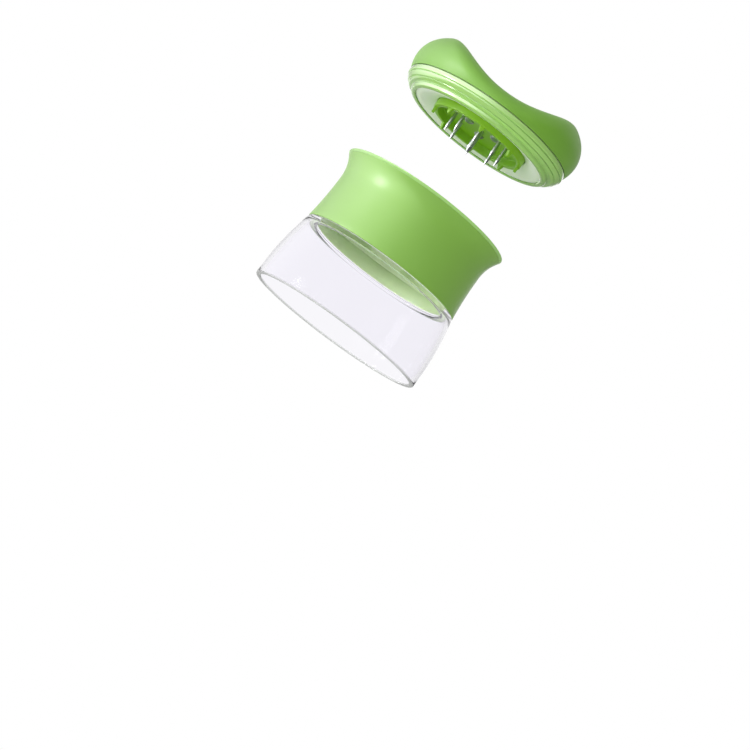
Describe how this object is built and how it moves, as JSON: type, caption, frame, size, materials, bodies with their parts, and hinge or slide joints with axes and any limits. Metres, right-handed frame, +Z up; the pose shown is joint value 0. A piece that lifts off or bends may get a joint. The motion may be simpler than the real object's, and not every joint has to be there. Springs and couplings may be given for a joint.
{
  "type": "handheld spiralizer",
  "caption": "Hand-held spiral vegetable cutter: a clear flared cup under a waisted soft-grip collar with a blade floor, and a turning toothed food holder with a saddle-shaped handle.",
  "frame": {"origin": "middle of the cup's open foot, on the plane that it stands on", "axes": "+Z up the tool's axis to the handle; +X and -X through the handle's two lobes"},
  "size_m": [0.0864, 0.0846, 0.1337],
  "materials": {
    "cup_plastic": "clear moulded, polished",
    "shell_plastic": "moulded, hidden under the soft skin",
    "soft_grip": "satin soft-touch elastomer",
    "rim_plastic": "moulded, satin gloss",
    "blade_steel": "stainless, ground",
    "ring_plastic": "moulded, glossy",
    "disc_plastic": "moulded, smooth",
    "hub_plastic": "moulded, satin gloss",
    "fastener_steel": "plated"
  },
  "bodies": {
    "body": {"clear_cup": "cup_plastic", "collar_shell": "shell_plastic", "grip_sleeve": "soft_grip", "feed_funnel": "rim_plastic", "blade_carrier": "rim_plastic", "slicing_blade": "blade_steel", "comb_blade": "blade_steel", "core_cutter": "blade_steel", "comb_rivets": "fastener_steel", "blade_screws": "fastener_steel", "carrier_screws": "fastener_steel"},
    "holder_carriage": {"guard_disc": "disc_plastic"},
    "holder": {"holder_ring": "ring_plastic", "gripper_hub": "hub_plastic", "handle_grip": "soft_grip", "handle_core": "shell_plastic", "gripper_pins": "blade_steel", "centre_spike": "blade_steel", "hub_screws": "fastener_steel", "ring_screws": "fastener_steel"}
  },
  "joints": [
    {"name": "holder_slide", "type": "slide", "parent": "body", "child": "holder_carriage", "axis": [0, 0, 1], "range_m": [-0.0406, 0.04]},
    {"name": "holder_turn", "type": "hinge", "parent": "holder_carriage", "child": "holder", "pos_m": [0, 0, 0.11], "axis": [0, 0, 1], "continuous": true}
  ]
}
